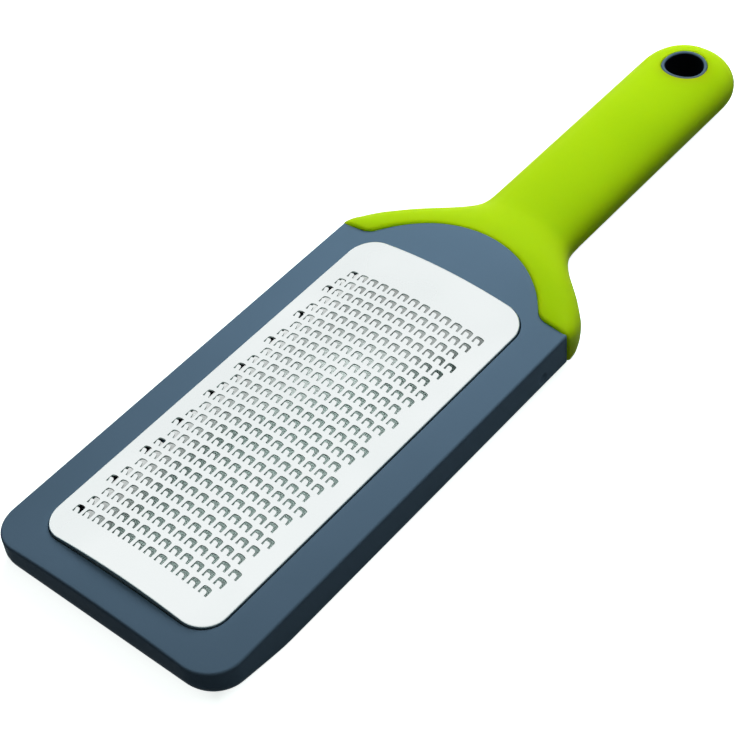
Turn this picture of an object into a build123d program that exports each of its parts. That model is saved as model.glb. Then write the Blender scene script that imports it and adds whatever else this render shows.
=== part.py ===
from build123d import *
import math
import os

# Hand rasp with a wide moulded frame: a domed, etched steel blade over an open-bottomed frame, and a
# soft grip moulded over the frame's tang, with a wishbone collar that laps the rear of the frame.
# X is across the blade, Y runs from the frame's nose to the hanging hole, Z is up.
# The origin is at mid length, on the centre line, at the level of the grip's underside.

os.makedirs("parts", exist_ok=True)

# Blade: a shallow pan of sheet steel, domed across its width
blade_width = 62.5
blade_length = 139.6
blade_corner = 7.0
blade_sheet = 0.5
blade_dome = 3.2
blade_rim_bend = 1.1
blade_depth = 7.0
blade_crown_stand = 2.5

# Teeth: a tongue left standing in each etched window, in rows that shift by a third of a pitch
tooth_columns = 13
tooth_rows = 27
rows_per_shift = 3
column_pitch = 3.9
row_pitch = 4.33
first_row_inset = 11.0
window_width = 2.8
window_length = 2.8
tongue_width = 1.5
tongue_length = 1.45
tongue_lift_angle = 24
tongue_root = 0.35

# Frame: moulded rails and nose around the blade, open below
frame_width = 84.6
frame_reach = 151.45
frame_side_height = 11.35
frame_crown_rise = 2.9
frame_corner = 10.9
frame_nose_round = 6.4
frame_edge_round = 0.8
frame_skin = 2.2
nose_margin = 8.95
blade_gap = 0.25
well_wall = 1.7
ledge_thickness = 1.3
rail_pocket_count = 4
rail_rib = 1.6
rail_pocket_inset = 30.0
rail_pocket_corner = 1.5

# Detent dimples low on the frame's sides, near the collar
dimple_width = 3.4
dimple_depth = 0.5
dimple_height = 3.5
dimple_back = 11.7

# Retainer: a hoop pressed inside the blade's skirt, hooked under the frame's ledge
hoop_wall = 1.3
hoop_fit = 0.1
hook_reach = 0.6
hook_thickness = 1.2

# Grip: soft overmould, oval in section, with a rounded end
grip_length = 142.2
grip_width = 33.4
grip_height = 17.0
frame_lift = 6.5
collar_length = 37.7
grip_end_round = 16.8
grip_skin = 2.0
neck_shape = 2.2
end_shape = 2.3

# Wishbone edge of the collar, where it shows the frame's rear plate
plate_length = 18.3
plate_arc_width = 56.0
plate_lobe_width = 66.0
plate_lobe_round = 5.0

# Tang: the frame's core, buried in the grip, with the block that carries it behind the well
block_corner = 17.0
tang_width = 20.0
tang_height = 9.0
tang_corner = 3.0

# Hanging hole through the end of the tang, in a boss that shows as a ring
hang_hole = 12.7
hang_ring = 15.7
hang_inset = 15.9
hang_bevel = 0.6

# Worked-out places
overall_length = frame_reach + grip_length
nose_y = -overall_length / 2
collar_y = nose_y + frame_reach
end_y = nose_y + overall_length
frame_base = frame_lift
frame_edge_top = frame_base + frame_side_height
frame_crown_top = frame_edge_top + frame_crown_rise
blade_top = frame_crown_top + blade_crown_stand
blade_bottom = blade_top - blade_depth
blade_front_y = nose_y + nose_margin
blade_middle_y = blade_front_y + blade_length / 2
blade_rear_y = blade_front_y + blade_length
hang_y = end_y - hang_inset
plate_base = frame_base + frame_side_height / 2
over = frame_side_height


def arc_radius(chord, rise):
    """Radius of the arc that stands a rise above its chord."""
    return (chord * chord / 4 + rise * rise) / (2 * rise)


def arc_drop(x, chord, rise):
    """How far the arc has fallen from its crown at a distance x from the middle."""
    radius = arc_radius(chord, rise)
    return radius - math.sqrt(radius * radius - x * x)


def oval_points(half_width, top, middle, bottom, top_shape, bottom_shape, count=28):
    """Points of a rounded section: the powers set how square its upper and lower halves are."""
    points = []
    for step in range(count):
        angle = 2 * math.pi * step / count
        across = math.cos(angle)
        up = math.sin(angle)
        power = 2 / (top_shape if up >= 0 else bottom_shape)
        height = top - middle if up >= 0 else middle - bottom
        x = half_width * math.copysign(abs(across) ** power, across)
        z = middle + height * math.copysign(abs(up) ** power, up)
        points.append((x, z))
    return points


# Stations of the collar, from the wing tips to the neck, each as shares: place along the collar,
# width and height beyond the plain grip, level of the widest line, level of the underside.
# The last two numbers set how square the upper and lower halves are.
collar_shares = [
    (0.00, 1.037, 0.88, 0.62, 0.92, 5.50, 6.90),
    (0.07, 1.030, 1.01, 0.64, 0.89, 4.40, 6.30),
    (0.18, 0.984, 1.17, 0.66, 0.83, 3.50, 4.60),
    (0.28, 0.905, 1.24, 0.68, 0.78, 2.87, 3.00),
    (0.39, 0.773, 1.20, 0.64, 0.73, 2.65, 2.70),
    (0.50, 0.625, 1.12, 0.56, 0.66, 2.50, 2.56),
    (0.60, 0.468, 0.98, 0.41, 0.51, 2.40, 2.46),
    (0.71, 0.302, 0.75, 0.21, 0.33, 2.32, 2.38),
    (0.82, 0.165, 0.47, 0.10, 0.18, 2.24, 2.28),
    (1.00, 0.000, 0.00, 0.00, 0.00, 2.20, 2.20),
]

# Stations of the grip's rounded end, as shares of the end's length
end_shares = [0.0, 0.30, 0.52, 0.70, 0.83, 0.92, 0.97, 0.995]


def grip_stations():
    """Sections of the grip from the wing tips to its rounded end: place and outline sizes."""
    half = grip_width / 2
    wide = frame_width / 2 - half
    rise = frame_crown_top - grip_height
    lift = frame_base + frame_side_height / 2 - grip_height / 2
    found = []
    for place, width, top, middle, bottom, top_shape, bottom_shape in collar_shares:
        found.append((
            collar_y + place * collar_length,
            half + width * wide,
            grip_height + top * rise,
            grip_height / 2 + middle * lift,
            bottom * frame_lift,
            top_shape,
            bottom_shape,
        ))
    for share in end_shares:
        taper = (1 - share ** end_shape) ** (1 / end_shape)
        level = grip_height / 2
        found.append((
            end_y - (1 - share) * grip_end_round,
            half * taper,
            level * (1 + taper),
            level,
            level * (1 - taper),
            neck_shape,
            neck_shape,
        ))
    return found


def tooth_layout():
    """Plan places of the window centres: each row shifts sideways by a third of a column pitch."""
    places = []
    for row in range(tooth_rows):
        shift = (row % rows_per_shift - (rows_per_shift - 1) / 2) / rows_per_shift
        y = blade_front_y + first_row_inset + row * row_pitch
        for column in range(tooth_columns):
            x = (column - (tooth_columns - 1) / 2 + shift) * column_pitch
            places.append((x, y))
    return places


def tongue_place(x, y):
    """Where a tongue's root lies on the domed sheet, turned to the dome's slope and lifted."""
    radius = arc_radius(blade_width, blade_dome)
    level = blade_top - arc_drop(x, blade_width, blade_dome)
    slope = math.degrees(math.asin(x / radius))
    root_y = y - window_length / 2 - tongue_root
    return Location((x, root_y, level), (tongue_lift_angle, slope, 0))


tooth_places = tooth_layout()
tongue_run = tongue_length + tongue_root

# Blade: the pan is cut from a domed block, shelled from below, then pierced and toothed
with BuildPart() as blade:
    with BuildSketch(Plane.XY.offset(blade_bottom)) as blade_plan:
        with Locations((0, blade_middle_y)):
            RectangleRounded(blade_width, blade_length, blade_corner)
    extrude(amount=blade_depth)
    with BuildSketch(Plane.XZ.offset(-blade_middle_y)) as blade_section:
        with BuildLine():
            edge_z = blade_top - blade_dome
            side = blade_width / 2
            ThreePointArc((-side, edge_z), (0, blade_top), (side, edge_z))
            Polyline((side, edge_z), (side, blade_bottom), (-side, blade_bottom), (-side, edge_z))
        make_face()
    extrude(amount=blade_length / 2, both=True, mode=Mode.INTERSECT)
    fillet(blade.faces().sort_by(Axis.Z)[-1].outer_wire().edges(), radius=blade_rim_bend)
    offset(amount=-blade_sheet, openings=blade.faces().sort_by(Axis.Z)[0])

    with BuildSketch(Plane.XY.offset(blade_bottom + blade_rim_bend)) as windows:
        with Locations(*[(x, y) for x, y in tooth_places]):
            Rectangle(window_width, window_length)
    extrude(amount=blade_depth, mode=Mode.SUBTRACT)
    with Locations(*[tongue_place(x, y) for x, y in tooth_places]):
        Box(tongue_width, tongue_run, blade_sheet, align=(Align.CENTER, Align.MIN, Align.MAX))

blade.part.label = "blade"
export_step(blade.part, "parts/blade.step")

# Frame: the tray and its rear plate under one crown, then its well, its hollow rails, the tang and the boss.
# The rails are open below and inwards, with ribs from the outer wall to the well's wall.
well_width = blade_width + 2 * blade_gap
well_length = blade_length + 2 * blade_gap
well_corner = blade_corner + blade_gap
throat_width = blade_width - 2 * blade_sheet
throat_length = blade_length - 2 * blade_sheet
ledge_top = blade_bottom
ledge_bottom = ledge_top - ledge_thickness
pocket_width = frame_width / 2 - frame_skin - well_width / 2 - well_wall
pocket_x = well_width / 2 + well_wall + pocket_width / 2
pocket_front_y = nose_y + rail_pocket_inset
pocket_rear_y = collar_y - frame_skin
pocket_pitch = (pocket_rear_y - pocket_front_y + rail_rib) / rail_pocket_count
pocket_length = pocket_pitch - rail_rib
pocket_depth = frame_side_height - frame_skin
tang_front_y = collar_y + grip_skin

with BuildPart() as frame:
    with BuildSketch(Plane.XY.offset(frame_base)) as tray_plan:
        with BuildLine():
            side = frame_width / 2
            turn_y = nose_y + frame_corner
            turn_x = side - frame_corner
            Line((-turn_x, nose_y), (turn_x, nose_y))
            RadiusArc((turn_x, nose_y), (side, turn_y), -frame_corner)
            Polyline((side, turn_y), (side, collar_y), (-side, collar_y), (-side, turn_y))
            RadiusArc((-side, turn_y), (-turn_x, nose_y), -frame_corner)
        make_face()
    extrude(amount=frame_side_height + over)
    with BuildSketch(Plane.XY.offset(plate_base)) as plate_plan:
        with BuildLine():
            arc_half = plate_arc_width / 2
            lobe_half = plate_lobe_width / 2
            shoulder_y = collar_y + plate_lobe_round
            back_y = collar_y + plate_length
            front_y = collar_y - frame_skin
            rear_arc = ThreePointArc((-arc_half, shoulder_y), (0, back_y), (arc_half, shoulder_y))
            right_lobe = TangentArc(rear_arc @ 1, (lobe_half, collar_y), tangent=rear_arc % 1)
            left_lobe = TangentArc(rear_arc @ 0, (-lobe_half, collar_y), tangent=(rear_arc % 0) * -1)
            Polyline(right_lobe @ 1, (lobe_half, front_y), (-lobe_half, front_y), left_lobe @ 1)
        make_face()
    extrude(amount=over)
    with BuildSketch(Plane.XZ.offset(-collar_y)) as crown_section:
        with BuildLine():
            ThreePointArc((-side, frame_edge_top), (0, frame_crown_top), (side, frame_edge_top))
            Polyline((side, frame_edge_top), (side, frame_base), (-side, frame_base), (-side, frame_edge_top))
        make_face()
    extrude(amount=frame_reach, both=True, mode=Mode.INTERSECT)
    with BuildSketch(Plane.YZ) as nose_cut:
        with BuildLine():
            heel = (nose_y + frame_nose_round, frame_base)
            brow = (nose_y, frame_base + frame_nose_round)
            RadiusArc(brow, heel, -frame_nose_round)
            Polyline(heel, (nose_y, frame_base), brow)
        make_face()
    extrude(amount=frame_width, both=True, mode=Mode.SUBTRACT)
    fillet(frame.faces().sort_by(Axis.Z)[-1].outer_wire().edges(), radius=frame_edge_round)

    with BuildSketch(Plane.XY.offset(ledge_top)) as well:
        with Locations((0, blade_middle_y)):
            RectangleRounded(well_width, well_length, well_corner)
    extrude(amount=over, mode=Mode.SUBTRACT)
    with BuildSketch(Plane.XY.offset(frame_base)) as throat:
        with Locations((0, blade_middle_y)):
            RectangleRounded(throat_width, throat_length, blade_corner - blade_sheet)
    extrude(amount=over, mode=Mode.SUBTRACT)
    with BuildSketch(Plane.XY.offset(frame_base)) as mouth:
        with Locations((0, blade_middle_y)):
            RectangleRounded(well_width + 2 * well_wall, well_length, well_corner)
    extrude(amount=ledge_bottom - frame_base, mode=Mode.SUBTRACT)
    with BuildSketch(Plane.XY.offset(frame_base)) as pockets:
        with Locations((0, (pocket_front_y + pocket_rear_y) / 2)):
            with GridLocations(2 * pocket_x, pocket_pitch, 2, rail_pocket_count):
                RectangleRounded(pocket_width, pocket_length, rail_pocket_corner)
    extrude(amount=pocket_depth, mode=Mode.SUBTRACT)
    with BuildSketch(Plane.YZ.offset(frame_width / 2 - dimple_depth)) as right_dimple:
        with Locations((collar_y - dimple_back, frame_base + dimple_height)):
            Circle(dimple_width / 2)
    extrude(amount=dimple_depth, mode=Mode.SUBTRACT)
    with BuildSketch(Plane.YZ.offset(dimple_depth - frame_width / 2)) as left_dimple:
        add(right_dimple.sketch_local)
    extrude(amount=-dimple_depth, mode=Mode.SUBTRACT)
    with BuildSketch(Plane.XY) as boss:
        with Locations((0, hang_y)):
            Circle(hang_ring / 2)
    extrude(amount=grip_height)
    with BuildSketch(Plane.XY.offset(frame_base + grip_skin)) as rear_block:
        with BuildLine():
            block_side = frame_width / 2 - grip_skin
            block_turn = block_side - block_corner
            block_rear_y = collar_y + block_corner
            RadiusArc((block_side, collar_y), (block_turn, block_rear_y), -block_corner)
            Line((block_turn, block_rear_y), (-block_turn, block_rear_y))
            RadiusArc((-block_turn, block_rear_y), (-block_side, collar_y), -block_corner)
            Line((-block_side, collar_y), (block_side, collar_y))
        make_face()
    extrude(amount=pocket_depth - grip_skin)
    with BuildSketch(Plane.XZ.offset(-tang_front_y)) as tang_section:
        with Locations((0, grip_height / 2)):
            RectangleRounded(tang_width, tang_height, tang_corner)
    extrude(amount=tang_front_y - hang_y - tang_corner)
    with BuildSketch(Plane.XY) as hang_bore:
        with Locations((0, hang_y)):
            Circle(hang_hole / 2)
    extrude(amount=grip_height, mode=Mode.SUBTRACT)
    for level, run in ((0, hang_bevel), (grip_height, -hang_bevel)):
        with BuildSketch(Plane.XY.offset(level)) as hang_lip:
            with Locations((0, hang_y)):
                Circle(hang_hole / 2 + hang_bevel)
        extrude(amount=run, taper=45, mode=Mode.SUBTRACT)

frame.part.label = "frame"
export_step(frame.part, "parts/frame.step")

# Blade retainer: the hoop stands inside the skirt, and its hook catches under the frame's ledge
hoop_width = throat_width - 2 * hoop_fit
hoop_length = throat_length - 2 * hoop_fit
hoop_corner = blade_corner - blade_sheet - hoop_fit
hook_width = hoop_width + 2 * hook_reach
hook_length = hoop_length + 2 * hook_reach
hoop_top = blade_top - blade_dome - blade_rim_bend - blade_sheet
hook_top = ledge_bottom - hoop_fit
hoop_bottom = hook_top - hook_thickness

with BuildPart() as blade_retainer:
    with BuildSketch(Plane.XY.offset(hoop_bottom)) as hook_plan:
        with Locations((0, blade_middle_y)):
            RectangleRounded(hook_width, hook_length, hoop_corner + hook_reach)
    extrude(amount=hook_thickness)
    with BuildSketch(Plane.XY.offset(hoop_bottom)) as hoop_plan:
        with Locations((0, blade_middle_y)):
            RectangleRounded(hoop_width, hoop_length, hoop_corner)
    extrude(amount=hoop_top - hoop_bottom)
    with BuildSketch(Plane.XY.offset(hoop_bottom)) as hoop_inside:
        with Locations((0, blade_middle_y)):
            RectangleRounded(hoop_width - 2 * hoop_wall, hoop_length - 2 * hoop_wall, hoop_corner - hoop_wall)
    extrude(amount=hoop_top - hoop_bottom, mode=Mode.SUBTRACT)

blade_retainer.part.label = "blade_retainer"
export_step(blade_retainer.part, "parts/blade_retainer.step")

# Grip: the overmould follows the same stations without the skin, less all that the frame fills
with BuildPart() as grip:
    for y, half_width, top, middle, bottom, top_shape, bottom_shape in grip_stations():
        with BuildSketch(Plane.XZ.offset(-y)):
            with BuildLine():
                Spline(*oval_points(half_width, top, middle, bottom, top_shape, bottom_shape), periodic=True)
            make_face()
    loft(ruled=True)
    with BuildSketch(Plane.XY.offset(plate_base)) as plate_window:
        add(plate_plan.sketch_local)
    extrude(amount=over, mode=Mode.SUBTRACT)
    with BuildSketch(Plane.XY) as boss_hole:
        add(boss.sketch_local)
    extrude(amount=grip_height, mode=Mode.SUBTRACT)
    add(frame.part, mode=Mode.SUBTRACT)

grip.part.label = "grip"
export_step(grip.part, "parts/grip.step")
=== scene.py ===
import math

import bmesh
import bpy
import numpy as np
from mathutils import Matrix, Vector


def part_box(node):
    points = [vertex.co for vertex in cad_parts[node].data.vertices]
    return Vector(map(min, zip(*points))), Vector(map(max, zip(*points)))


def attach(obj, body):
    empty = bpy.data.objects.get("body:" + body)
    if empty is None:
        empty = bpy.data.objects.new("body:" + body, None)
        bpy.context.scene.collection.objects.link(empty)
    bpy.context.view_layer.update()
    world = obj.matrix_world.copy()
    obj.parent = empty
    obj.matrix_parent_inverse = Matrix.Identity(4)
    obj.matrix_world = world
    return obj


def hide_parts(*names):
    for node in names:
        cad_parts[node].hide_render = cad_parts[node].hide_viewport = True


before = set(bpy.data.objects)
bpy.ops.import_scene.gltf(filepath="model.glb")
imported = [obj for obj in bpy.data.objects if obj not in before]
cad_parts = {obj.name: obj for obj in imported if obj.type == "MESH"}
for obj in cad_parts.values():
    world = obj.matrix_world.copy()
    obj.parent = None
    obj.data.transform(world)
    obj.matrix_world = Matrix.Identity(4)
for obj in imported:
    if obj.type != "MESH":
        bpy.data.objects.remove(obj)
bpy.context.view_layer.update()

mm = 0.001
quarter = math.pi / 2

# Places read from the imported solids
(_, nose_y, _), (frame_half, _, crown_z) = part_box("frame")
(_, collar_y, grip_low), (_, end_y, _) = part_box("grip")
(_, blade_front, blade_low), (blade_half, blade_rear, _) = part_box("blade")
(_, _, hoop_low), (_, _, hoop_high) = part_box("blade_retainer")

# Middle of the first row of teeth, from the solid blade's front edge
field_inset = 11.0 * mm

# The blade's edges lie this much further back than the solid's, and the teeth stay where they are
front_set_back = 0.6 * mm
rear_set_back = 0.9 * mm
first_row = blade_front + field_inset
blade_front += front_set_back
blade_rear += rear_set_back

# Points closer than the first join, and lengths below the second count as nothing
weld = 0.004 * mm
sliver = 0.001 * mm

# Frame sizes
frame_low = 6.5 * mm
side_height = 11.35 * mm
crown_rise = crown_z - frame_low - side_height
frame_corner = 10.9 * mm
edge_round = 0.8 * mm
foot_round = 1.0 * mm
nose_round = 7.2 * mm
nose_fade = 34.0 * mm
nose_fade_power = 1.6
nose_round_power = 1.4
wall = 2.2 * mm
well_wall = 1.7 * mm
well_gap = 0.25 * mm
lip_round = 0.3 * mm
ledge = 1.3 * mm
pocket_start = nose_y + 30.0 * mm
pocket_end = collar_y - wall
pocket_count = 4
pocket_rib = 1.6 * mm
pocket_draft = 0.12 * mm
plate_radius = 38.5 * mm
plate_back = 19.8 * mm
plate_turn_y = collar_y + 2.6 * mm
tuck = 1.3 * mm
tuck_start_y = collar_y + 0.1 * mm
tuck_run = 0.9 * mm
tuck_end_y = collar_y + 2.2 * mm
dimple_y = collar_y - 11.7 * mm
dimple_z = frame_low + 3.5 * mm
dimple_radius = 1.7 * mm
dimple_depth = 0.5 * mm
dimple_reach = 1.15
dimple_slope = 0.45

# Blade sizes
sheet = 0.5 * mm
blade_corner = 8.4 * mm
blade_top = crown_z + 2.5 * mm
blade_rise = 3.2 * mm
rim_bend = 1.1 * mm
outer_bend_points = 7
inner_bend_points = 5
outline_gather = 0.6

# Teeth: windows in rows that shift by a third of a pitch, each with a tongue left on its front edge
columns = 13
rows = 27
pitch_x = 3.9 * mm
pitch_y = 4.33 * mm
window_half = 1.4 * mm
window_corner = 0.55 * mm
window_arch = 0.12 * mm
tongue_half = 0.75 * mm
tongue_reach = 1.35 * mm
tongue_lift = 0.62 * mm
tongue_lift_power = 1.7
tongue_taper = 0.3 * mm
tongue_edge = 0.2 * mm

# Grip sizes
grip_half = 16.7 * mm
grip_high = 17.0 * mm
collar_run = 37.7 * mm
end_run = 16.8 * mm
end_drop_run = 14.0 * mm
end_power = 2.26
end_drop_power = 2.7
lip = 1.0 * mm
lip_foot = 1.2 * mm
lip_middle_y = collar_y + 6.0 * mm
lip_points = 7
ease_inset = 5.0 * mm
ease_passes = 8
grip_columns = 360
column_gather = 0.12
plate_arc = 37.0 * mm
plate_arc_y = collar_y + 18.3 * mm - plate_arc
plate_corner = 5.0 * mm

# Hanging hole
hang_y = end_y - 15.816 * mm
bore_radius = 6.35 * mm
ring_radius = 7.75 * mm
ring_fit = 0.02 * mm
ring_columns = 128


def dome(x, rise, half, top):
    """Height of a round arc over the width: top less the fall of the circle through the two edges."""
    radius = (half * half + rise * rise) / (2 * rise)
    return top - radius + np.sqrt(radius * radius - x * x)


def crown(x):
    """Height of the frame's upper face at x."""
    return dome(x, crown_rise, frame_half, crown_z)


def sheet_height(x):
    """Height of the blade's upper face at x."""
    return dome(x, blade_rise, blade_half, blade_top)


def smooth_through(knots, values, at):
    """A curve through the knots: cubic pieces whose slopes are harmonic means, so none overshoots."""
    knots = np.asarray(knots, float)
    values = np.asarray(values, float)
    step = np.diff(knots)
    rise = np.diff(values) / step
    slope = np.zeros_like(values)
    same = rise[:-1] * rise[1:] > 0
    near = np.where(same, rise[:-1] * rise[1:], 0)
    total = np.where(same, rise[:-1] + rise[1:], 1)
    slope[1:-1] = 2 * near / total
    slope[0] = rise[0]
    at = np.clip(at, knots[0], knots[-1])
    span = np.clip(np.searchsorted(knots, at, side="right") - 1, 0, len(step) - 1)
    share = (at - knots[span]) / step[span]
    left = values[span] * (1 + 2 * share) * (1 - share) ** 2
    right = values[span + 1] * share ** 2 * (3 - 2 * share)
    turn = step[span] * share * (1 - share)
    return left + right + turn * (slope[span] * (1 - share) - slope[span + 1] * share)


def smooth_step(value):
    """Rises from 0 to 1 with level ends."""
    value = np.clip(value, 0, 1)
    return value * value * (3 - 2 * value)


def new_piece(name, points, faces, slot, *nodes, sharp=38):
    """Puts points and faces into a mesh object, closes its seams and poles and turns its faces out."""
    mesh = bpy.data.meshes.new(name)
    mesh.from_pydata(points.reshape(-1, 3).tolist(), [], [list(face) for face in faces])
    shape = bmesh.new()
    shape.from_mesh(mesh)
    bmesh.ops.remove_doubles(shape, verts=shape.verts, dist=weld)
    bmesh.ops.dissolve_degenerate(shape, edges=shape.edges, dist=sliver)
    loose = [vertex for vertex in shape.verts if not vertex.link_faces]
    bmesh.ops.delete(shape, geom=loose, context="VERTS")
    bmesh.ops.recalc_face_normals(shape, faces=shape.faces)
    if shape.calc_volume(signed=True) < 0:
        bmesh.ops.reverse_faces(shape, faces=shape.faces)
    shape.to_mesh(mesh)
    shape.free()
    mesh.shade_smooth()
    mesh.set_sharp_from_angle(angle=math.radians(sharp))
    piece = bpy.data.objects.new(name, mesh)
    bpy.context.scene.collection.objects.link(piece)
    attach(piece, "root")
    if nodes:
        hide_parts(*nodes)
    return piece


def grid_faces(count_a, count_b, wrap_a=False, wrap_b=False):
    """Quads of a grid of count_a by count_b points, closed on itself where asked."""
    a = np.arange(count_a if wrap_a else count_a - 1)[:, None]
    b = np.arange(count_b if wrap_b else count_b - 1)[None, :]
    next_a = (a + 1) % count_a
    next_b = (b + 1) % count_b
    corners = (a * count_b + b, a * count_b + next_b, next_a * count_b + next_b, next_a * count_b + b)
    return np.stack(np.broadcast_arrays(*corners), axis=-1).reshape(-1, 4)


# Outlines


def straight(start, stop, count):
    """Points along a line, without its end, and the line's right-hand normal."""
    share = np.arange(count)[:, None] / count
    start = np.asarray(start, float)
    run = np.asarray(stop, float) - start
    normal = np.array([run[1], -run[0]]) / np.hypot(*run)
    return start + run * share, np.broadcast_to(normal, (count, 2))


def bend(centre, radius, start, stop, count):
    """Points round a circle from one angle to another, without the end, and their outward normals."""
    angle = start + (stop - start) * np.arange(count) / count
    normal = np.stack([np.cos(angle), np.sin(angle)], axis=1)
    return np.asarray(centre) + radius * normal, normal


def both_sides(pieces, last):
    """Joins the pieces of a right half outline and mirrors them into a closed loop."""
    points = np.concatenate([points for points, _ in pieces] + [[last]])
    normals = np.concatenate([normals for _, normals in pieces] + [[(0.0, 1.0)]])
    flip = np.array([-1.0, 1.0])
    points = np.concatenate([points, points[-2:0:-1] * flip])
    normals = np.concatenate([normals, normals[-2:0:-1] * flip])
    normals[0] = (0.0, -1.0)
    return points, normals


# Steps round the frame's and the well's outlines, and where their shared straight stretch starts and stops
front_steps = 26
corner_steps = 26
lead_steps = 6
exit_steps = 44
rear_corner_steps = 16
rear_steps = 44
side_start = nose_y + 18.4 * mm
side_stop = collar_y - 14.0 * mm
side_step = 2.5 * mm
side_clear = 0.3 * mm
exit_clear = 0.1 * mm

# Points across each part of the frame's profile
well_lip_points = 5
face_points = 9
brow_points = 8
wall_points = 26
foot_points = 12


def pocket_edges():
    """Places along the rails where the pockets begin and end."""
    pitch = (pocket_end - pocket_start + pocket_rib) / pocket_count
    starts = pocket_start + pitch * np.arange(pocket_count)
    return starts, starts + pitch - pocket_rib


def stations(even, low, high, clear):
    """Even places along a rail, and between low and high a close pair of lines at each pocket's ends."""
    starts, stops = pocket_edges()
    pairs = np.concatenate([starts, starts + pocket_draft, stops - pocket_draft, stops])
    gap = np.abs(even[:, None] - pairs[None, :]).min(axis=1)
    inside = pairs[(pairs > low) & (pairs < high)]
    return np.unique(np.concatenate([even[gap > clear], inside]))


def side_run(half):
    """The straight stretch of an outline, at places that the frame and the well share."""
    even = np.arange(side_start, side_stop, side_step)
    place = stations(even, side_start, side_stop, side_clear)
    place = np.unique(np.concatenate([place, [side_start]]))
    points = np.stack([np.full_like(place, half), place], axis=1)
    return points, np.broadcast_to((1.0, 0.0), points.shape)


def exit_stations():
    """Places along the rail from the last shared one to the collar."""
    even = side_stop + (tuck_end_y - side_stop) * np.arange(exit_steps) / exit_steps
    return stations(even, side_stop, collar_y, exit_clear)


def well_loop(half, low_y, high_y, corner):
    """A rounded rectangle round the blade, sampled to match the frame's outline."""
    leave_y = high_y - corner
    exit_y = np.interp(exit_stations(), [side_stop, tuck_end_y], [side_stop, leave_y])
    exit_points = np.stack([np.full_like(exit_y, half), exit_y], axis=1)
    pieces = [
        straight((0, low_y), (half - corner, low_y), front_steps),
        bend((half - corner, low_y + corner), corner, -quarter, 0, corner_steps),
        straight((half, low_y + corner), (half, side_start), lead_steps),
        side_run(half),
        (exit_points, np.broadcast_to((1.0, 0.0), exit_points.shape)),
        bend((half - corner, leave_y), corner, 0, quarter, rear_corner_steps),
        straight((half - corner, high_y), (0, high_y), rear_steps),
    ]
    return both_sides(pieces, (0, high_y))


def frame_loop():
    """The frame's outline: rounded nose, straight rails, and the rear plate's arc under the collar."""
    corner = frame_corner
    arc_y = collar_y + plate_back - plate_radius
    turn = math.asin((plate_turn_y - arc_y) / plate_radius)
    turn_x = plate_radius * math.cos(turn)
    exit_y = exit_stations()
    hidden = tuck * smooth_step((exit_y - tuck_start_y) / tuck_run)
    exit_points = np.stack([frame_half - hidden, exit_y], axis=1)
    pieces = [
        straight((0, nose_y), (frame_half - corner, nose_y), front_steps),
        bend((frame_half - corner, nose_y + corner), corner, -quarter, 0, corner_steps),
        straight((frame_half, nose_y + corner), (frame_half, side_start), lead_steps),
        side_run(frame_half),
        (exit_points, np.broadcast_to((1.0, 0.0), exit_points.shape)),
        straight((frame_half - tuck, tuck_end_y), (turn_x, plate_turn_y), rear_corner_steps),
        bend((0, arc_y), plate_radius, turn, quarter, rear_steps),
    ]
    return both_sides(pieces, (0, collar_y + plate_back))


def along(points):
    """Distance round the loop from its front middle, the shorter way."""
    step = np.hypot(*(np.roll(points, -1, axis=0) - points).T)
    run = np.concatenate([[0], np.cumsum(step)])
    return np.minimum(run[:-1], run[-1] - run[:-1])


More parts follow.
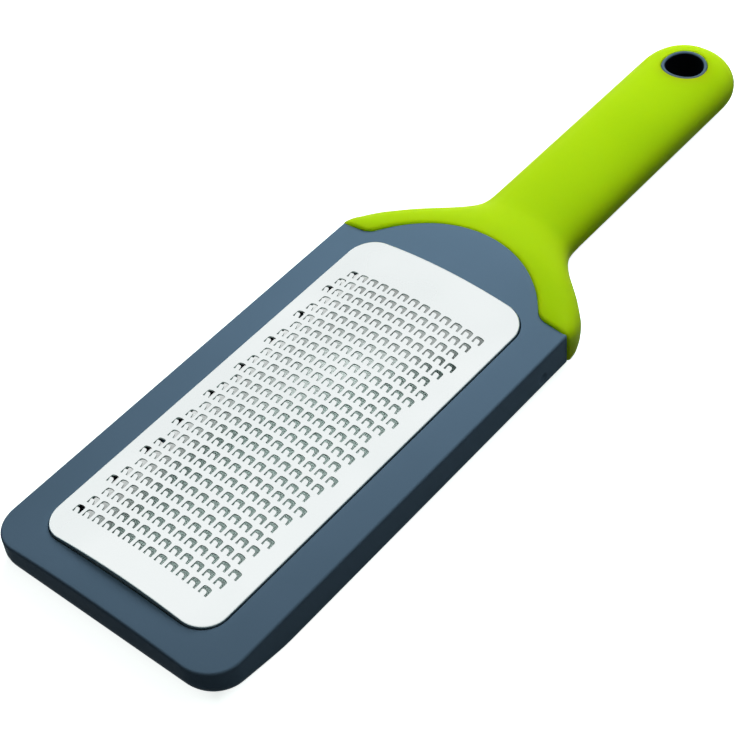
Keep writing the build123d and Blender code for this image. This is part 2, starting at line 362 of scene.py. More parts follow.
def make_frame():
    """The frame is a profile carried round the blade: upper face, rounded edge, wall, foot, well."""
    outer, normal = frame_loop()
    mouth_x = blade_half + well_gap + well_wall
    around = (blade_front - well_gap, blade_rear + well_gap, blade_corner + well_gap)
    well, well_normal = well_loop(blade_half + well_gap, *around)
    mouth, _ = well_loop(mouth_x, *around)
    throat, _ = well_loop(blade_half - sheet, blade_front + sheet, blade_rear - sheet, blade_corner - sheet)
    past = np.clip((along(outer) - (frame_half - frame_corner)) / nose_fade, 0, 1)
    foot = foot_round + (nose_round - foot_round) * (1 - past ** nose_fade_power) ** nose_round_power
    rings = []

    def ring(points, height):
        rings.append(np.concatenate([points, np.broadcast_to(height, len(points))[:, None]], axis=1))

    for turn in np.linspace(0, quarter, well_lip_points):
        points = well + well_normal * lip_round * (1 - math.cos(turn))
        ring(points, crown(points[:, 0]) - lip_round * (1 - math.sin(turn)))
    inner = well + well_normal * lip_round
    brow = outer - normal * edge_round
    for share in np.linspace(0, 1, face_points)[1:-1]:
        points = inner + (brow - inner) * share
        ring(points, crown(points[:, 0]))
    for turn in np.linspace(0, quarter, brow_points):
        points = outer - normal * edge_round * (1 - math.sin(turn))
        ring(points, crown(brow[:, 0]) - edge_round * (1 - math.cos(turn)))
    wall_top = crown(brow[:, 0]) - edge_round
    for share in np.linspace(0, 1, wall_points)[1:]:
        height = wall_top + (frame_low + foot - wall_top) * share
        reach = np.hypot(outer[:, 1] - dimple_y, height - dimple_z) / dimple_radius
        sink = dimple_depth * smooth_step((dimple_reach - reach) / dimple_slope)
        ring(outer - normal * sink[:, None], height)
    for turn in np.linspace(0, quarter, foot_points)[1:]:
        points = outer - normal * (foot * (1 - math.cos(turn)))[:, None]
        ring(points, frame_low + foot * (1 - math.sin(turn)))
    sole = outer - normal * foot[:, None]
    starts, stops = pocket_edges()
    place = outer[:, 1][:, None]
    most = pocket_draft * 0.9
    deep = ((place >= starts + most) & (place <= stops - most)).any(axis=1)
    sole_x = frame_half - foot_round
    roof = frame_low + (side_height - wall) * deep
    for line_x, height in ((frame_half - wall, frame_low), (frame_half - wall - pocket_draft, roof)):
        share = (sole_x - line_x) / (sole_x - mouth_x)
        ring(sole + (mouth - sole) * share, height)
    ring(mouth, roof)
    ring(mouth, blade_low - ledge)
    ring(throat, blade_low - ledge)
    ring(throat, blade_low)
    ring(well, blade_low)
    for share in (0.4, 0.8):
        ring(well, blade_low + (crown(well[:, 0]) - lip_round - blade_low) * share)
    points = np.stack(rings)
    return new_piece("frame_moulding", points, grid_faces(*points.shape[:2], True, True),
                     "slate_plastic", "frame")


def make_retainer():
    """The retainer is a hoop with an outward hook at its foot, carried inside the blade's skirt."""
    fit = 0.1 * mm
    hoop_wall = 1.3 * mm
    hook = 0.6 * mm
    hook_high = blade_low - ledge - fit
    outer, normal = well_loop(blade_half - sheet - fit, blade_front + sheet + fit, blade_rear - sheet - fit,
                              blade_corner - sheet - fit)
    soft = 0.15 * mm
    profile = (
        (-hoop_wall, hoop_low + soft), (soft - hoop_wall, hoop_low), (hook - soft, hoop_low),
        (hook, hoop_low + soft), (hook, hook_high - soft), (hook - soft, hook_high), (0, hook_high),
        (0, hoop_high - soft), (-soft, hoop_high), (soft - hoop_wall, hoop_high),
        (-hoop_wall, hoop_high - soft),
    )
    rings = []
    for out, height in profile:
        points = outer + normal * out
        rings.append(np.concatenate([points, np.full((len(points), 1), height)], axis=1))
    points = np.stack(rings)
    return new_piece("retainer_hoop", points, grid_faces(*points.shape[:2], True, True),
                     "retainer_plastic", "blade_retainer")


# Blade


def tooth_tile():
    """One tooth's tile as rows of (x, y, lift, thickness share) about the window's middle, and its faces.

    The border has points at thirds of the pitch, so that rows shifted by a third still meet. The window
    is a square with an arched far side. The tongue's lift grows as a power of its reach."""
    edge_x = pitch_x / 2
    third = pitch_x / 6
    edge_y = pitch_y / 2
    border = [
        (-edge_x, -edge_y), (-third, -edge_y), (third, -edge_y), (edge_x, -edge_y), (edge_x, 0),
        (edge_x, edge_y), (third, edge_y), (-third, edge_y), (-edge_x, edge_y), (-edge_x, 0),
    ]
    half = window_half
    flat = half - window_corner
    nick = half - window_corner * (1 - math.sqrt(0.5))
    window = [
        (-half, -half), (-tongue_half, -half), (tongue_half, -half), (half, -half), (half, 0),
        (half, flat), (nick, nick), (flat, half), (0, half + window_arch), (-flat, half),
        (-nick, nick), (-half, flat), (-half, 0),
    ]
    skin = len(border) + len(window)
    points = [(x, y, 0, layer) for layer in (0, 1) for x, y in border + window]
    for share, narrow in ((0.45, 0), (0.82, 0), (1.0, tongue_taper)):
        y = -half + tongue_reach * share
        lift = tongue_lift * share ** tongue_lift_power
        for side in (-1, 1):
            x = side * (tongue_half - narrow)
            points.append((x, y, lift, 0))
            points.append((x, y, lift, 1 - share * (1 - tongue_edge / sheet)))
    ring = [
        (0, 1, 11, 10), (1, 2, 12, 11), (2, 3, 13, 12), (3, 4, 14, 13), (4, 15, 14), (4, 5, 16, 15),
        (5, 6, 17, 16), (6, 18, 17), (6, 7, 18), (7, 19, 18), (7, 8, 20, 19), (8, 9, 21, 20),
        (9, 22, 21), (9, 0, 10, 22),
    ]
    faces = list(ring)
    faces += [tuple(index + skin for index in reversed(face)) for face in ring]
    loop = list(range(len(border), skin))
    left_top, right_top = loop[1:3]
    for a, b in zip(loop, loop[1:] + loop[:1]):
        if (a, b) != (left_top, right_top):
            faces.append((a, b, b + skin, a + skin))
    left_low, right_low = left_top + skin, right_top + skin
    for base in range(2 * skin, len(points), 4):
        faces += [
            (left_top, right_top, base + 2, base),
            (right_low, left_low, base + 1, base + 3),
            (left_low, left_top, base, base + 1),
            (right_top, right_low, base + 3, base + 2),
        ]
        left_top, left_low, right_top, right_low = base, base + 1, base + 2, base + 3
    faces.append((left_top, right_top, right_low, left_low))
    return np.array(points), faces


def filler_tile():
    """A plain tile a third of a pitch wide and a row deep, in two halves, for the gaps beside a row."""
    corners = ((0, -1), (1, -1), (1, 0), (0, 0))
    points = [
        (x * pitch_x / 3, (y + half) * pitch_y / 2, 0, layer)
        for half in (0, 1) for layer in (0, 1) for x, y in corners
    ]
    return np.array(points), [tuple(range(start, start + 4)) for start in (0, 4, 8, 12)]


def row_shift(row):
    """Sideways shift of a row of teeth."""
    return (row % 3 - 1) * pitch_x / 3


def place_tiles(tile, faces, tile_x, row_y, first):
    """Copies of a tile at every place of every row, and its faces, with their corners counted from first."""
    places = np.zeros((*tile_x.shape, 4))
    places[..., 0] = tile_x
    places[..., 1] = row_y[:, None]
    places = places.reshape(-1, 1, 4)
    step = first + len(tile) * np.arange(len(places))[:, None, None]
    skin = []
    for size in sorted({len(face) for face in faces}):
        alike = np.array([face for face in faces if len(face) == size])
        skin += (alike + step).reshape(-1, size).tolist()
    return (tile + places).reshape(-1, 4), skin


def field_border():
    """Edge of the pierced field, as a loop of points at thirds of the pitch and halves of the rows."""
    half = (columns / 2 + 1 / 3) * pitch_x
    low = first_row - pitch_y / 2
    x = np.linspace(0, half, round(half / (pitch_x / 6)) + 1)[1::2]
    y = low + pitch_y / 2 * np.arange(2 * rows + 1)
    front = np.stack([np.concatenate([-x[::-1], x]), np.full(2 * len(x), low)], axis=1)
    side = np.stack([np.full(len(y) - 2, half), y[1:-1]], axis=1)
    back = np.stack([front[::-1, 0], np.full(len(front), y[-1])], axis=1)
    left = np.stack([-side[::-1, 0], side[::-1, 1]], axis=1)
    return np.concatenate([front, side, back, left]), len(front)


def blade_outline(count_front, count_side):
    """The blade's outline from its front left corner's middle, by shares of each side's length.

    The shares gather towards the corners, so that the corner arcs get the closest points."""
    corner = blade_corner
    middle_y = (blade_front + blade_rear) / 2
    half_y = (blade_rear - blade_front) / 2
    eighth = math.pi / 4 * corner
    points = []
    normals = []
    for turn, half_run, half_out, count in (
        (-1, blade_half, half_y, count_front), (0, half_y, blade_half, count_side),
        (1, blade_half, half_y, count_front), (2, half_y, blade_half, count_side),
    ):
        share = np.arange(count) / count
        share = share - outline_gather / (2 * math.pi) * np.sin(2 * math.pi * share)
        flat = half_run - corner
        run = -flat - eighth + share * 2 * (flat + eighth)
        over = np.clip(np.abs(run) - flat, 0, None) * np.sign(run) / corner
        x = half_out - corner + corner * np.cos(over)
        y = np.clip(run, -flat, flat) + corner * np.sin(over)
        angle = turn * quarter
        spin = np.array([[math.cos(angle), math.sin(angle)], [-math.sin(angle), math.cos(angle)]])
        points.append(np.stack([x, y], axis=1) @ spin)
        normals.append(np.stack([np.cos(over), np.sin(over)], axis=1) @ spin)
    return np.concatenate(points) + (0, middle_y), np.concatenate(normals)


def drop_onto_sheet(flat_points):
    """Turns (x, y, lift, thickness share) into places on the domed sheet, thick along its normal."""
    x, y, lift, share = flat_points.T
    top = sheet_height(x)
    radius = (blade_half ** 2 + blade_rise ** 2) / (2 * blade_rise)
    lean = x / radius
    off = lift - sheet * share
    return np.stack([x + off * lean, y, top + off * np.sqrt(1 - lean * lean)], axis=1)


def make_blade():
    """The blade: tiles with a window and a bent tongue, fillers, and a rolled rim carried round them."""
    row = np.arange(rows)
    row_y = first_row + row * pitch_y
    tooth_x = (np.arange(columns) - (columns - 1) / 2) * pitch_x + row_shift(row)[:, None]
    edge = columns / 2 * pitch_x
    third = pitch_x / 3
    gap_x = np.array([(edge - third, edge), (-edge - third, edge), (-edge - third, -edge)])[row % 3]
    teeth, faces = place_tiles(*tooth_tile(), tooth_x, row_y, 0)
    fillers, filler_faces = place_tiles(*filler_tile(), gap_x, row_y, len(teeth))
    field = drop_onto_sheet(np.concatenate([teeth, fillers]))

    border, front_count = field_border()
    side_count = (len(border) - 2 * front_count) // 2
    # The corner points belong to the long sides' shares
    outline, normal = blade_outline(front_count - 1, side_count + 1)
    rings = []
    rim = outline - normal * rim_bend

    def sheet_ring(points, share):
        lift_share = np.broadcast_to((0.0, share), points.shape)
        rings.append(drop_onto_sheet(np.concatenate([points, lift_share], axis=1)))

    def ring(points, height):
        rings.append(np.concatenate([points, height[:, None]], axis=1))

    shares = (0, 0.2, 0.4, 0.6, 0.8, 1.0)
    for share in shares:
        sheet_ring(border + (rim - border) * share, 0)
    rim_high = sheet_height(rim[:, 0])
    for turn in np.linspace(0, quarter, outer_bend_points)[1:]:
        ring(rim + normal * rim_bend * math.sin(turn), rim_high - rim_bend * (1 - math.cos(turn)))
    skirt_low = np.full(len(outline), blade_low)
    ring(outline, skirt_low)
    ring(outline - normal * sheet, skirt_low)
    inner_bend = rim_bend - sheet
    for turn in np.linspace(quarter, 0, inner_bend_points)[:-1]:
        ring(rim + normal * inner_bend * math.sin(turn), rim_high - rim_bend + inner_bend * math.cos(turn))
    for share in reversed(shares):
        sheet_ring(border + (rim - border) * share, 1)
    rings = np.stack(rings)
    rim_faces = grid_faces(*rings.shape[:2], False, True) + len(field)
    points = np.concatenate([field, rings.reshape(-1, 3)])
    return new_piece("rasp_blade", points, faces + filler_faces + rim_faces.tolist(),
                     "etched_steel", "blade", sharp=30)


# Grip

collar_shares = np.array([
    # place, width, top, middle, underside, upper power, lower power
    (0.000, 1.037, 0.88, 0.62, 0.92, 7.0, 6.9),
    (0.072, 1.029, 1.01, 0.64, 0.89, 5.2, 6.3),
    (0.178, 0.984, 1.17, 0.66, 0.83, 3.5, 4.6),
    (0.284, 0.904, 1.24, 0.68, 0.78, 2.87, 3.0),
    (0.390, 0.773, 1.20, 0.64, 0.73, 2.65, 2.7),
    (0.496, 0.628, 1.125, 0.56, 0.666, 2.50, 2.56),
    (0.602, 0.465, 0.973, 0.41, 0.51, 2.40, 2.46),
    (0.708, 0.305, 0.757, 0.21, 0.334, 2.32, 2.38),
    (0.814, 0.168, 0.48, 0.10, 0.185, 2.24, 2.28),
    (0.900, 0.080, 0.24, 0.04, 0.085, 2.21, 2.23),
    (0.980, 0.028, 0.08, 0.01, 0.025, 2.20, 2.20),
    (1.080, 0.005, 0.01, 0.00, 0.004, 2.20, 2.20),
    (1.200, 0.000, 0.00, 0.00, 0.00, 2.20, 2.20),
])


def grip_sizes(y):
    """Half width, top, middle, underside and the two powers of the grip's section at y."""
    place = (y - collar_y) / collar_run
    knots = collar_shares[:, 0]
    width, top, middle, bottom, upper, lower = (
        smooth_through(knots, collar_shares[:, column], place) for column in range(1, 7)
    )
    level = grip_high / 2
    half = grip_half + (frame_half - grip_half) * width
    high = grip_high + (crown_z - grip_high) * top
    widest = level + (frame_low + side_height / 2 - level) * middle
    low = frame_low * bottom
    past = np.clip((y - end_y + end_run) / end_run, 0, 1)
    taper = (1 - past ** end_power) ** (1 / end_power)
    fall = np.clip((y - end_y + end_drop_run) / end_drop_run, 0, 1)
    squeeze = (1 - fall ** end_drop_power) ** (1 / end_drop_power)
    high = level + (high - level) * squeeze
    low = level - (level - low) * squeeze
    return half * taper, high, widest, low, upper, lower


def grip_point(angle, y):
    """Point of the grip: a section whose upper and lower halves are ovals with their own powers."""
    half, high, widest, low, upper, lower = grip_sizes(y)
    across = np.cos(angle)
    up = np.sin(angle)
    power = 2 / np.where(up >= 0, upper, lower)
    height = np.where(up >= 0, high - widest, widest - low)
    x = half * np.sign(across) * np.abs(across) ** power
    z = widest + height * np.sign(up) * np.abs(up) ** power
    return np.stack([x, np.broadcast_to(y, x.shape), z], axis=-1)


def plate_reach(x, y):
    """Distance in plan beyond the plate's outline, and the way out of it.

    The outline is an arc about the middle, then a corner circle that touches the arc and the level
    line at the collar's front, then that line. The nearest of the three gives the distance."""
    corner_y = collar_y + plate_corner
    away = plate_arc + plate_corner
    corner_x = math.sqrt(away ** 2 - (corner_y - plate_arc_y) ** 2)
    side = np.where(x < 0, -1.0, 1.0)
    across = np.abs(x)
    radius = np.hypot(across, y - plate_arc_y)
    arc = radius - plate_arc
    level = y - collar_y
    reach = np.minimum(arc, level)
    on_arc = arc < level
    way_x = np.where(on_arc, across / radius, 0.0)
    way_y = np.where(on_arc, (y - plate_arc_y) / radius, 1.0)
    off_x = across - corner_x
    off_y = y - corner_y
    toward_arc = -off_x * away / corner_x
    toward_line = -off_y - toward_arc * (corner_y - plate_arc_y) / away
    turning = (toward_arc > 0) & (toward_line > 0)
    off = np.maximum(np.hypot(off_x, off_y), 1e-9)
    reach = np.where(turning, plate_corner - off, reach)
    way_x = np.where(turning, -off_x / off, way_x)
    way_y = np.where(turning, -off_y / off, way_y)
    return reach, np.stack([way_x * side, way_y, np.zeros_like(x)], axis=-1)


def upper_height(x, y):
    """Height of the grip's upper half at a place in plan."""
    half, high, widest, _, upper, _ = grip_sizes(y)
    share = np.clip(np.abs(x) / half, 0, 1)
    return widest + (high - widest) * (1 - share ** upper) ** (1 / upper)


def grip_rows():
    """Places of the grip's sections: close at the collar and the rounded end, wider between."""
    collar_end = collar_y + 26.0 * mm
    neck = collar_y + 48.0 * mm
    shoulder = end_y - end_run
    shaft_end = shoulder - 12.0 * mm
    collar_step, neck_step, shaft_step = 0.4 * mm, 0.8 * mm, 1.5 * mm
    shoulder_points, end_points = 24, 36
    turn = np.linspace(0, quarter, end_points)[:-1]
    return np.concatenate([
        np.arange(collar_y + lip, collar_end, collar_step),
        np.arange(collar_end, neck, neck_step),
        np.arange(neck, shaft_end, shaft_step),
        np.linspace(shaft_end, shoulder, shoulder_points)[:-1],
        end_y - end_run * (1 - np.sin(turn)),
    ])


def open_edges(faces):
    """Edges that only one face uses."""
    edges = np.sort(np.concatenate([faces[:, [a, (a + 1) % 4]] for a in range(4)]), axis=1)
    edges, uses = np.unique(edges, axis=0, return_counts=True)
    return edges[uses == 1]


def ease_border(border, way, edges, high):
    """Spreads the border's upper points evenly along the plate's outline.

    Each pass moves a point halfway to the mean of its two neighbours, then back out to the outline."""
    flat_top = (high & (np.abs(border[:, 0]) < frame_half - ease_inset))[:, None]
    for _ in range(ease_passes):
        total = np.zeros_like(border)
        np.add.at(total, edges[:, 0], border[edges[:, 1]])
        np.add.at(total, edges[:, 1], border[edges[:, 0]])
        eased = border * 0.5 + total * 0.25
        reach, turned = plate_reach(eased[:, 0], eased[:, 1])
        eased -= turned * (reach - lip)[:, None]
        eased[:, 2] = upper_height(eased[:, 0], eased[:, 1])
        border = np.where(flat_top, eased, border)
        way = np.where(flat_top, turned, way)
    return border, way


def make_grip():
    """The grip: sections from the collar's front to the closed end, cut open over the frame's plate.

    The cut follows the plate's outline at the lip's width. From its border the lip rolls forward and
    down a quarter circle, sinks below the frame's surface and closes inside it."""
    count = grip_columns
    turn = 2 * math.pi * np.arange(count) / count
    angle = turn - column_gather * np.sin(4 * turn)
    rows_y = grip_rows()
    points = np.stack([grip_point(angle, np.full(count, y)) for y in rows_y])
    along_rows = np.gradient(points, axis=0)
    around = np.roll(points, -1, axis=1) - np.roll(points, 1, axis=1)
    normal = np.cross(along_rows, around)
    normal /= np.linalg.norm(normal, axis=2, keepdims=True) + 1e-12
    normal = normal.reshape(-1, 3)
    faces = grid_faces(len(rows_y), count, False, True)
    flat = points.reshape(-1, 3)
    upper = np.tile(np.sin(angle) > 0, len(rows_y))
    reach, way = plate_reach(flat[:, 0], flat[:, 1])
    reach = np.where(upper, reach, flat[:, 1] - collar_y)
    way[~upper] = (0.0, 1.0, 0.0)
    bare = (reach < lip - sliver)[faces].any(axis=1)
    body = faces[~bare]
    front = open_edges(body)
    front = front[(front < count * (len(rows_y) - 1)).all(axis=1)]
    rim = np.unique(front)
    moved = flat.copy()
    place = np.searchsorted(rim, front)
    border = flat[rim] - way[rim] * (reach - lip)[rim, None]
    high = upper[rim]
    border[high, 2] = upper_height(border[high, 0], border[high, 1])
    border, out = ease_border(border, way[rim], place, high)
    moved[rim] = border
    body, moved, tube = hang_cut(moved, body, count)

    layers = [border]
    for roll in np.linspace(0, quarter, lip_points)[1:]:
        layers.append(border - out * lip * math.sin(roll) - normal[rim] * lip * (1 - math.cos(roll)))
    middle = np.array([[0, lip_middle_y, frame_low + side_height / 2]])
    tip = np.array([[0, end_y, grip_high / 2]])
    layers.append(layers[-1] - normal[rim] * lip_foot)
    layers.append(layers[-1] * 0.7 + middle * 0.3)
    base = len(moved)
    size = len(rim)
    skin = [body.tolist(), tube.tolist()]
    for step in range(len(layers) - 1):
        near = base + step * size + place
        far = near + size
        skin.append(np.stack([near[:, 0], near[:, 1], far[:, 1], far[:, 0]], axis=1).tolist())
    last = base + (len(layers) - 1) * size + place
    middle_index = base + len(layers) * size
    skin.append([[a, b, middle_index] for a, b in last.tolist()])
    end = count * (len(rows_y) - 1) + np.arange(count)
    skin.append([[a, b, middle_index + 1] for a, b in zip(end.tolist(), np.roll(end, -1).tolist())])
    all_points = np.concatenate([moved, *layers, middle, tip])
    return new_piece("grip_overmould", all_points, sum(skin, []), "lime_overmould", "grip", sharp=50)


def hang_cut(flat, faces, count):
    """Opens the grip round the boss: faces inside the circle go, their edge snaps to it, a tube joins it."""
    radius = np.hypot(flat[:, 0], flat[:, 1] - hang_y)
    centre = flat[faces].mean(axis=1)
    inside = np.hypot(centre[:, 0], centre[:, 1] - hang_y) < ring_radius
    kept = faces[~inside]
    edges = open_edges(faces[inside])
    rim = np.unique(edges)
    snapped = flat.copy()
    pull = (ring_radius + ring_fit) / np.maximum(radius, 1e-9)
    snapped[rim, 0] = flat[rim, 0] * pull[rim]
    snapped[rim, 1] = hang_y + (flat[rim, 1] - hang_y) * pull[rim]
    edges = edges[flat[edges[:, 0], 2] > grip_high / 2]
    row, column = np.divmod(edges, count)
    mirror = row * count + (count - column) % count
    tube = np.stack([edges[:, 0], edges[:, 1], mirror[:, 1], mirror[:, 0]], axis=1)
    return kept, snapped, tube


def make_ring():
    """The boss round the hanging hole: a profile turned about the hole, its lip following the grip."""
    angle = 2 * math.pi * np.arange(ring_columns) / ring_columns
    out = np.stack([np.cos(angle), np.sin(angle)], axis=1)
    edge_y = hang_y + out[:, 1] * ring_radius
    half, high, widest, low, upper, _ = grip_sizes(edge_y)
    share = np.clip(np.abs(out[:, 0] * ring_radius) / half, 0, 1)
    rise = (high - widest) * (1 - share ** upper) ** (1 / upper)
    profile = (
        (ring_radius - ring_fit, -2.0 * mm), (ring_radius - 0.06 * mm, -0.80 * mm),
        (ring_radius - 0.17 * mm, -0.36 * mm), (ring_radius - 0.34 * mm, -0.10 * mm),
        (ring_radius - 0.58 * mm, 0.0), (bore_radius + 0.55 * mm, -0.02 * mm),
        (bore_radius + 0.30 * mm, -0.14 * mm), (bore_radius + 0.12 * mm, -0.40 * mm),
        (bore_radius + 0.02 * mm, -0.75 * mm), (bore_radius, -1.2 * mm),
    )
    rings = []
    for side in (1, -1):
        order = profile if side == 1 else profile[::-1]
        for radius, level in order:
            height = widest + side * (rise + level)
            rings.append(np.concatenate([out * radius + (0, hang_y), height[:, None]], axis=1))
    points = np.stack(rings)
    return new_piece("hanging_ring", points, grid_faces(*points.shape[:2], True, True), "slate_plastic")


# Material and stage nodes


def node_material(name):
    """A new material with its Principled shader at hand."""
    material = bpy.data.materials.new(name)
    material.use_nodes = True
    tree = material.node_tree
    return material, tree, tree.nodes["Principled BSDF"]


def feed(tree, socket, value):
    """Gives a socket another socket's output or a plain value."""
    if isinstance(value, bpy.types.NodeSocket):
        tree.links.new(value, socket)
    else:
        socket.default_value = value


def reckon(tree, operation, *values):
    """A Math node's result from plain numbers or other nodes' outputs."""
    node = tree.nodes.new("ShaderNodeMath")
    node.operation = operation
    for socket, value in zip(node.inputs, values):
        feed(tree, socket, value)
    return node.outputs["Value"]


def rescale(tree, value, start, stop, low, high, easing="LINEAR"):
    """Maps a value from between start and stop to between low and high, and holds it there."""
    node = tree.nodes.new("ShaderNodeMapRange")
    node.interpolation_type = easing
    levels = {"Value": value, "From Min": start, "From Max": stop, "To Min": low, "To Max": high}
    for label, level in levels.items():
        feed(tree, node.inputs[label], level)
    return node.outputs["Result"]


def mix_tones(tree, share, first, second):
    """A colour between two: the first at share 0, the second at share 1."""
    node = tree.nodes.new("ShaderNodeMix")
    node.data_type = "RGBA"
    for label, value in (("Factor", share), ("A", first), ("B", second)):
        feed(tree, node.inputs[label], value)
    return node.outputs["Result"]


def object_place(tree):
    """Object coordinates, in metres."""
    return tree.nodes.new("ShaderNodeTexCoord").outputs["Object"]


def seen_directly(tree):
    """Light Path: 1 for what the camera, a glossy surface or a clear one sees, 0 for soft bounce light."""
    path = tree.nodes.new("ShaderNodeLightPath").outputs
    seen = reckon(tree, "MAXIMUM", path["Is Camera Ray"], path["Is Glossy Ray"])
    return reckon(tree, "MAXIMUM", seen, path["Is Transmission Ray"])


# Materials


def surface_grain():
    """Node group: fine moulded or ground grain as a height, with a slow drift for colour and gloss."""
    group = bpy.data.node_groups.new("surface_grain", "ShaderNodeTree")
    face = group.interface
    for label, value in (("Grain", 900.0), ("Stretch X", 1.0), ("Stretch Y", 1.0), ("Drift", 18.0),
                         ("Height", 0.02)):
        socket = face.new_socket(label, in_out="INPUT", socket_type="NodeSocketFloat")
        socket.default_value = value
    face.new_socket("Normal", in_out="OUTPUT", socket_type="NodeSocketVector")
    face.new_socket("Drift", in_out="OUTPUT", socket_type="NodeSocketFloat")
    nodes = group.nodes
    link = group.links.new
    inputs = nodes.new("NodeGroupInput")
    outputs = nodes.new("NodeGroupOutput")
    place = object_place(group)
    spread = nodes.new("ShaderNodeCombineXYZ")
    spread.inputs["Z"].default_value = 1.0
    scaled = nodes.new("ShaderNodeVectorMath")
    scaled.operation = "MULTIPLY"
    grain = nodes.new("ShaderNodeTexNoise")
    grain.inputs["Detail"].default_value = 3.0
    drift = nodes.new("ShaderNodeTexNoise")
    drift.inputs["Detail"].default_value = 2.0
    bump = nodes.new("ShaderNodeBump")
    bump.inputs["Distance"].default_value = 0.2 * mm
    link(inputs.outputs["Stretch X"], spread.inputs["X"])
    link(inputs.outputs["Stretch Y"], spread.inputs["Y"])
    link(place, scaled.inputs[0])
    link(spread.outputs["Vector"], scaled.inputs[1])
    link(scaled.outputs["Vector"], grain.inputs["Vector"])
    link(inputs.outputs["Grain"], grain.inputs["Scale"])
    link(place, drift.inputs["Vector"])
    link(inputs.outputs["Drift"], drift.inputs["Scale"])
    link(grain.outputs["Fac"], bump.inputs["Height"])
    link(inputs.outputs["Height"], bump.inputs["Strength"])
    link(bump.outputs["Normal"], outputs.inputs["Normal"])
    link(drift.outputs["Fac"], outputs.inputs["Drift"])
    return group


grain_group = surface_grain()


def drift_ramp(tree, source, dark, light):
    """Colour that wanders between two close tones."""
    ramp = tree.nodes.new("ShaderNodeValToRGB")
    ends = (0.35, 0.65)
    for element, position, tone in zip(ramp.color_ramp.elements, ends, (dark, light)):
        element.position = position
        element.color = (*tone, 1)
    tree.links.new(source, ramp.inputs["Fac"])
    return ramp.outputs["Color"]


def grained_material(name, tones, rough, grain_values):
    """A material whose colour and gloss wander between two levels each, over a fine grain of its own."""
    material, tree, shader = node_material(name)
    grain = tree.nodes.new("ShaderNodeGroup")
    grain.node_tree = grain_group
    for label, value in grain_values.items():
        grain.inputs[label].default_value = value
    drift = grain.outputs["Drift"]
    tree.links.new(drift_ramp(tree, drift, *tones), shader.inputs["Base Color"])
    tree.links.new(rescale(tree, drift, 0.3, 0.7, *rough), shader.inputs["Roughness"])
    tree.links.new(grain.outputs["Normal"], shader.inputs["Normal"])
    return material, tree, shader


def keep_tone_where(tree, shader, share, other):
    """Leaves the shader its colour at share 1 and gives it the other at share 0."""
    socket = shader.inputs["Base Color"]
    own = socket.links[0].from_socket
    tree.links.new(mix_tones(tree, share, (*other, 1), own), socket)


def satin_plastic(name, tones):
    """Satin moulded plastic with a fine spark-eroded grain."""
    grain_values = {"Grain": 2600.0, "Drift": 30.0, "Height": 0.08}
    material, _, shader = grained_material(name, tones, (0.37, 0.43), grain_values)
    shader.inputs["Specular IOR Level"].default_value = 0.003
    return material


def ring_plastic(name, tones, bore_shade_tone):
    """The frame's plastic at the boss, in a darker copy of its tone as painted shade, with painted shade
    making the inside of the bore near black.
    """
    material = satin_plastic(name, tones)
    tree = material.node_tree
    centred = tree.nodes.new("ShaderNodeMapping")
    centred.inputs["Location"].default_value = (0, -hang_y, 0)
    centred.inputs["Scale"].default_value = (1, 1, 0)
    reach = tree.nodes.new("ShaderNodeVectorMath")
    reach.operation = "LENGTH"
    tree.links.new(object_place(tree), centred.inputs["Vector"])
    tree.links.new(centred.outputs["Vector"], reach.inputs[0])
    # Painted shade: the colour turns near black inside the bore's radius.
    bore_edge = (bore_radius + 0.03 * mm, bore_radius + 0.30 * mm)
    outside = rescale(tree, reach.outputs["Value"], *bore_edge, 0.0, 1.0, "SMOOTHSTEP")
    keep_tone_where(tree, tree.nodes["Principled BSDF"], outside, bore_shade_tone)
    return material


def lime_rubber(name, tones):
    """Soft overmould: matt, faintly pebbled, with light that spreads a little under its skin."""
    grain_values = {"Grain": 3200.0, "Drift": 22.0, "Height": 0.10}
    material, _, shader = grained_material(name, tones, (0.50, 0.58), grain_values)
    shader.inputs["Specular IOR Level"].default_value = 0.02
    shader.inputs["Subsurface Weight"].default_value = 1.0
    shader.inputs["Subsurface Radius"].default_value = (1.0, 1.0, 0.15)
    shader.inputs["Subsurface Scale"].default_value = 10.0 * mm
    return material


def bright_steel(name, tones, wall_shade_tone):
    """Stainless sheet, finely ground along its length, with painted shade darkening its cut and folded walls
    where the surface turns away from level.
    """
    grain_values = {"Grain": 600.0, "Stretch X": 6.0, "Stretch Y": 0.25, "Drift": 25.0, "Height": 0.03}
    material, tree, shader = grained_material(name, tones, (0.24, 0.34), grain_values)
    # Painted shade: the colour darkens where the surface's normal turns away from upright.
    facing = tree.nodes.new("ShaderNodeNewGeometry")
    split = tree.nodes.new("ShaderNodeSeparateXYZ")
    tree.links.new(facing.outputs["Normal"], split.inputs["Vector"])
    level = reckon(tree, "ABSOLUTE", split.outputs["Z"])
    flat = rescale(tree, level, 0.25, 0.72, 0.0, 1.0, "SMOOTHSTEP")
    keep_tone_where(tree, shader, flat, wall_shade_tone)
    shader.inputs["Metallic"].default_value = 1.0
    return material


def dress(piece, material):
    """Gives a piece its one material."""
    piece.data.materials.clear()
    piece.data.materials.append(material)


# Stage: floor, lamps, world and camera

floor_half = 6.0
floor_gap = 0.05 * mm
bounce_tone = (0.14, 0.14, 0.14, 1)
seen_tone = (0.76, 0.92, 0.87, 1)

# Glow of the open floor beside the tray, fading under it as painted shade, and a strip of painted light
# under its rear left
glow_rear_y = collar_y + 16.0 * mm
glow_shade_fade = (-21.0 * mm, 1.0 * mm)
glow_most = 0.96
light_strip_way = (-0.872, 0.493, 0)
light_strip_fade = (-19.0 * mm, -5.0 * mm)
light_strip_most = 0.33


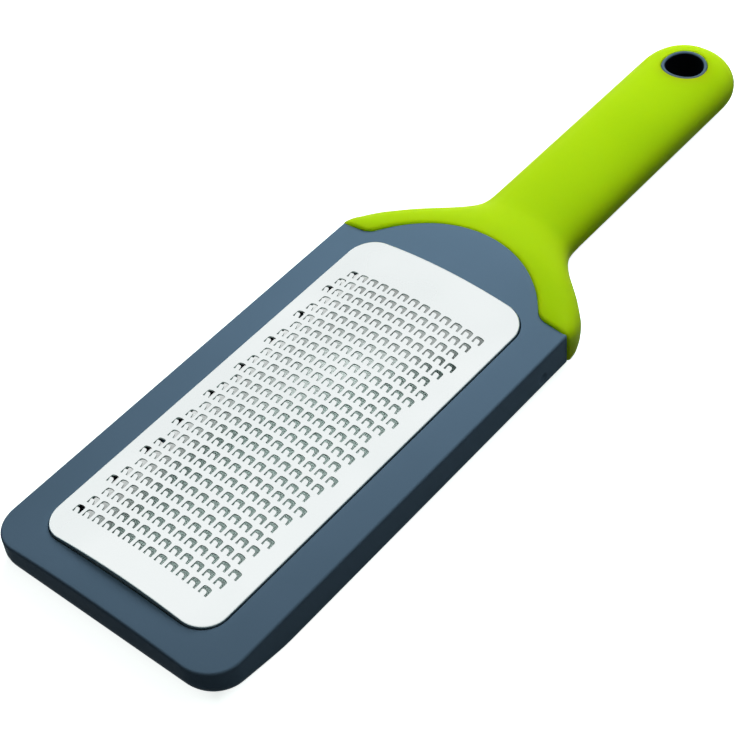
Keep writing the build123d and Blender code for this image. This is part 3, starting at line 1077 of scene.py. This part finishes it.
def floor_glow(tree):
    """Glow of the open floor: full beside the tray, and fading under it by distance from its middle as
    painted shade.

    A soft strip of painted light under the tray's rear left stands for light that comes through the windows
    from behind."""
    place = object_place(tree)
    split = tree.nodes.new("ShaderNodeSeparateXYZ")
    tree.links.new(place, split.inputs["Vector"])
    middle_y = (nose_y + glow_rear_y) / 2
    beyond = []
    for axis, middle, half in (("X", 0.0, frame_half), ("Y", middle_y, middle_y - nose_y)):
        offset = reckon(tree, "SUBTRACT", split.outputs[axis], middle)
        beyond.append(reckon(tree, "SUBTRACT", reckon(tree, "ABSOLUTE", offset), half))
    reach = reckon(tree, "MAXIMUM", *beyond)
    # Painted shade: the glow fades to nothing under the tray.
    beside = rescale(tree, reach, *glow_shade_fade, 0.0, glow_most, "SMOOTHSTEP")
    # Painted light: a soft strip on the floor under the tray's rear left.
    across = tree.nodes.new("ShaderNodeVectorMath")
    across.operation = "DOT_PRODUCT"
    across.inputs[1].default_value = light_strip_way
    tree.links.new(place, across.inputs[0])
    painted_light_strip = rescale(tree, across.outputs["Value"], *light_strip_fade, 0.0, light_strip_most, "SMOOTHSTEP")
    return reckon(tree, "MAXIMUM", beside, painted_light_strip)


def make_floor():
    """A pale floor pitched to touch the frame's heel and the underside of the neck."""
    heel = np.array([0.0, nose_y + nose_round, frame_low])
    sole = np.array([0.0, collar_y + collar_run, grip_low])
    run = sole - heel
    slope = run[2] / run[1]
    x = floor_half * np.array([-1, 1, 1, -1])
    y = floor_half * np.array([-1, -1, 1, 1])
    z = heel[2] + slope * (y - heel[1]) - floor_gap
    mesh = bpy.data.meshes.new("floor")
    mesh.from_pydata(np.stack([x, y, z], axis=1).tolist(), [], [(0, 1, 2, 3)])
    floor = bpy.data.objects.new("floor", mesh)
    bpy.context.scene.collection.objects.link(floor)
    material, tree, shader = node_material("pale_floor")
    seen = seen_directly(tree)
    tree.links.new(mix_tones(tree, seen, bounce_tone, seen_tone), shader.inputs["Base Color"])
    tree.links.new(reckon(tree, "MULTIPLY", seen, floor_glow(tree)), shader.inputs["Emission Strength"])
    shader.inputs["Emission Color"].default_value = (0.97, 1.0, 0.99, 1)
    shader.inputs["Roughness"].default_value = 0.9
    shader.inputs["Specular IOR Level"].default_value = 0.1
    dress(floor, material)


def area_lamp(name, place, target, size, power):
    """A square soft lamp at a place, aimed at a target."""
    lamp = bpy.data.lights.new(name, "AREA")
    lamp.shape = "SQUARE"
    lamp.size = size
    lamp.energy = power
    holder = bpy.data.objects.new(name, lamp)
    bpy.context.scene.collection.objects.link(holder)
    holder.location = place
    holder.visible_glossy = False
    aim = np.array(target) - np.array(place)
    flat = math.hypot(aim[0], aim[1])
    holder.rotation_euler = (math.atan2(flat, -aim[2]), 0, math.atan2(aim[1], aim[0]) - quarter)


def make_world(strength):
    """A soft white world: plain white where it is seen, dimmer as bounce light."""
    world = bpy.data.worlds.new("studio")
    bpy.context.scene.world = world
    world.use_nodes = True
    tree = world.node_tree
    background = tree.nodes["Background"]
    background.inputs["Color"].default_value = (1, 1, 1, 1)
    level = rescale(tree, seen_directly(tree), 0.0, 1.0, strength, 1.0)
    tree.links.new(level, background.inputs["Strength"])


def make_camera():
    """The photograph's camera: a 36 mm wide frame with a 93.33 mm lens, shifted by parts of a pixel."""
    data = bpy.data.cameras.new("camera")
    data.sensor_width = 36.0
    data.lens = 93.33
    data.shift_x = -0.1 / 736
    data.shift_y = 0.5 / 736
    camera = bpy.data.objects.new("camera", data)
    bpy.context.scene.collection.objects.link(camera)
    camera.location = (266.16 * mm, -310.71 * mm, 413.79 * mm)
    camera.rotation_euler = tuple(math.radians(turn) for turn in (43.508, 4.227, 39.556))
    bpy.context.scene.camera = camera


frame_piece = make_frame()
retainer_piece = make_retainer()
blade_piece = make_blade()
grip_piece = make_grip()
ring_piece = make_ring()

slate_tones = ((0.105, 0.177, 0.252), (0.111, 0.185, 0.264))
# Painted shade: the boss is the frame's own plastic, given a darker copy of its tone
ring_shaded_tones = ((0.084, 0.138, 0.190), (0.089, 0.145, 0.199))
# Painted shade for the inside of the hanging hole's bore
bore_shade_tone = (0.006, 0.009, 0.013)
black_tones = ((0.018, 0.020, 0.024), (0.022, 0.025, 0.030))
steel_tones = ((0.82, 0.865, 0.865), (0.87, 0.91, 0.91))
# Painted shade for the blade's rim, skirt and tongue walls
steel_wall_shade_tone = (0.33, 0.39, 0.38)
lime_tones = ((0.342, 0.584, 0.0025), (0.365, 0.609, 0.0035))

dress(frame_piece, satin_plastic("slate_plastic_satin", slate_tones))
dress(ring_piece, ring_plastic("slate_ring_satin", ring_shaded_tones, bore_shade_tone))
dress(retainer_piece, satin_plastic("retainer_black_satin", black_tones))
dress(blade_piece, bright_steel("bright_steel", steel_tones, steel_wall_shade_tone))
dress(grip_piece, lime_rubber("lime_rubber", lime_tones))

make_floor()
area_lamp("key", place=(-0.10, 0.195, 0.30), target=(-0.015, 0.04, 0), size=0.30, power=1.34)
area_lamp("fill", place=(0.25, 0.35, 0.9), target=(0, 0, 0), size=0.8, power=2.4)
make_world(strength=0.06)
make_camera()
bpy.context.scene.view_settings.view_transform = "Standard"
